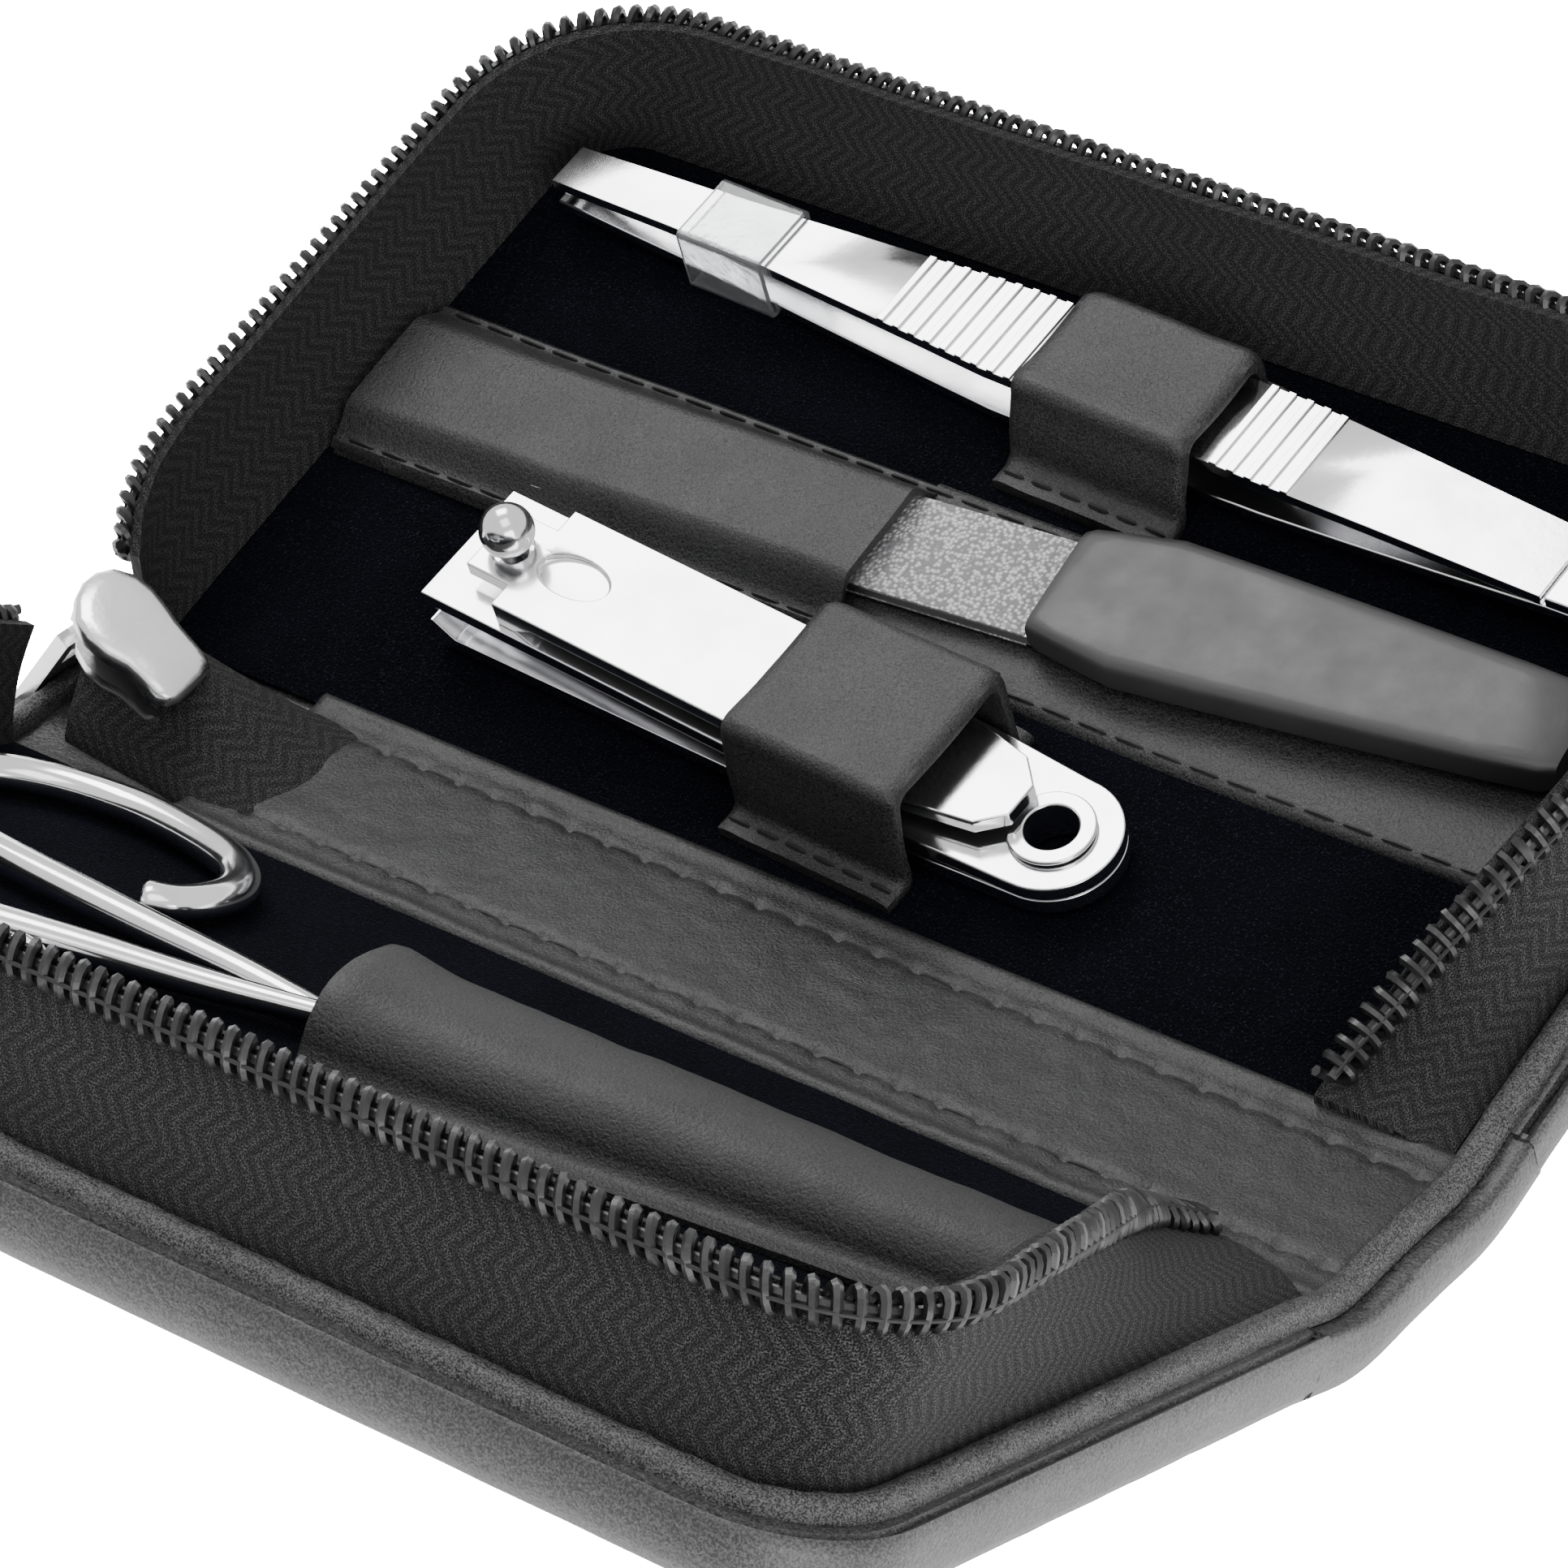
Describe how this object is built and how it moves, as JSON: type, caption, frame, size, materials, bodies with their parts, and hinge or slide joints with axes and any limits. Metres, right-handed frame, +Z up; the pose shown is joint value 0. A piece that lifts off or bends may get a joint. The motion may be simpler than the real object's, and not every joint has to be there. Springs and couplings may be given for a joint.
{
  "type": "manicure set case",
  "caption": "Zip-around manicure case lying half open: clipper, file and tweezers strapped in the flat tray, scissors sheathed in the raised one.",
  "frame": {"origin": "centre of the flat tray's underside, on the surface the case rests on", "axes": "+X along the spine away from the zip slider, +Y from the spine across the flat tray to its far edge, +Z up"},
  "size_m": [0.1185, 0.1239, 0.0567],
  "materials": {
    "outer_leather": "fine-grained black leather, satin",
    "binding_leather": "thin black leather band, wrinkled",
    "inner_leather": "thin soft black leather, fine grain",
    "foam": "open-cell foam sheet",
    "greyboard": "grey bookbinder's board",
    "velvet": "bluish-black short-pile velvet",
    "zip_tape": "woven black twill tape",
    "zip_coil": "black nylon coil, shiny",
    "zip_metal": "nickel-plated zinc casting",
    "thread": "black twisted thread",
    "steel": "polished nickel-plated steel",
    "file_steel": "satin steel blade",
    "grit": "fine bonded grit, sparkling",
    "handle_plastic": "glossy black moulded plastic",
    "clear_sleeve": "clear soft vinyl"
  },
  "bodies": {
    "far_tray": {"far_cover_leather": "outer_leather", "far_padding": "foam", "far_board": "greyboard", "far_velvet_lining": "velvet", "far_edge_binding": "binding_leather", "far_zip_tape": "zip_tape", "far_zip_coil": "zip_coil", "pocket_base": "inner_leather", "pocket_front": "inner_leather", "pocket_stitches": "thread", "tweezer_strap": "inner_leather", "tweezer_strap_stitches": "thread", "clipper_strap": "inner_leather", "clipper_strap_stitches": "thread"},
    "spine": {"spine_cover_leather": "outer_leather", "spine_board": "greyboard", "spine_inner_strip": "inner_leather", "spine_stitches": "thread", "zip_tail": "zip_tape", "zip_slider": "zip_metal"},
    "pull": {"zip_pull": "zip_metal"},
    "near_tray": {"near_cover_leather": "outer_leather", "near_padding": "foam", "near_board": "greyboard", "near_velvet_lining": "velvet", "near_edge_binding": "binding_leather", "near_zip_tape": "zip_tape", "near_zip_coil": "zip_coil", "scissor_sheath": "inner_leather"},
    "tweezers": {"tweezer_lower_arm": "steel", "tweezer_arm_weld": "steel"},
    "tweezer_arm": {"tweezer_upper_arm": "steel"},
    "sleeve": {"tweezer_sleeve": "clear_sleeve"},
    "clipper": {"clipper_lower_jaw": "steel", "clipper_pin": "steel", "clipper_eyelet": "steel"},
    "clipper_jaw": {"clipper_upper_jaw": "steel", "clipper_lever": "steel"},
    "nail_file": {"file_blade": "file_steel", "file_grit": "grit", "file_handle": "handle_plastic"},
    "scissors": {"scissor_lower_half": "steel", "scissor_screw": "steel"},
    "scissor_half": {"scissor_upper_half": "steel"}
  },
  "joints": [
    {"name": "spine_fold", "type": "hinge", "parent": "far_tray", "child": "spine", "pos_m": [0, -0.03025, 0.0045], "axis": [-1, 0, 0], "range_deg": [-19.2, 65.09]},
    {"name": "near_fold", "type": "hinge", "parent": "spine", "child": "near_tray", "pos_m": [0, -0.04442, 0.00943], "axis": [-1, 0, 0], "range_deg": [-19.2, 65.09]},
    {"name": "pull_swing", "type": "hinge", "parent": "spine", "child": "pull", "pos_m": [-0.05305, -0.03535, 0.01265], "axis": [0, 0.9444, -0.3289], "range_deg": [0, 85]},
    {"name": "tweezers_slide", "type": "slide", "parent": "far_tray", "child": "tweezers", "axis": [0.999, -0.0436, 0], "range_m": [-0.0025, 0.005]},
    {"name": "tweezers_squeeze", "type": "hinge", "parent": "tweezers", "child": "tweezer_arm", "pos_m": [0.03772, 0.01455, 0.0087], "axis": [-0.0436, -0.999, 0], "range_deg": [0, 0.7], "stiffness_Nm_per_rad": 0.6},
    {"name": "sleeve_slide", "type": "slide", "parent": "tweezers", "child": "sleeve", "axis": [0.999, -0.0436, 0], "range_m": [-0.011, 0.0015]},
    {"name": "clipper_slide", "type": "slide", "parent": "far_tray", "child": "clipper", "axis": [0.9984, -0.0558, 0], "range_m": [-0.014, 0.016]},
    {"name": "jaw_press", "type": "hinge", "parent": "clipper", "child": "clipper_jaw", "pos_m": [0.01692, -0.01899, 0.0074], "axis": [-0.0558, -0.9984, 0], "range_deg": [0, 1.1], "stiffness_Nm_per_rad": 4},
    {"name": "file_slide", "type": "slide", "parent": "far_tray", "child": "nail_file", "axis": [0.9976, 0.0698, 0], "range_m": [-0.0003, 0.005]},
    {"name": "scissors_slide", "type": "slide", "parent": "near_tray", "child": "scissors", "axis": [0.9925, 0.0955, -0.0757], "range_m": [-0.002, 0.0035]},
    {"name": "scissors_open", "type": "hinge", "parent": "scissors", "child": "scissor_half", "pos_m": [0.0014, -0.06273, 0.02561], "axis": [0, -0.6211, -0.7837], "range_deg": [0, 2.2]}
  ],
  "couplings": [
    {"joint": "near_fold", "follows": "spine_fold", "ratio": 1}
  ]
}
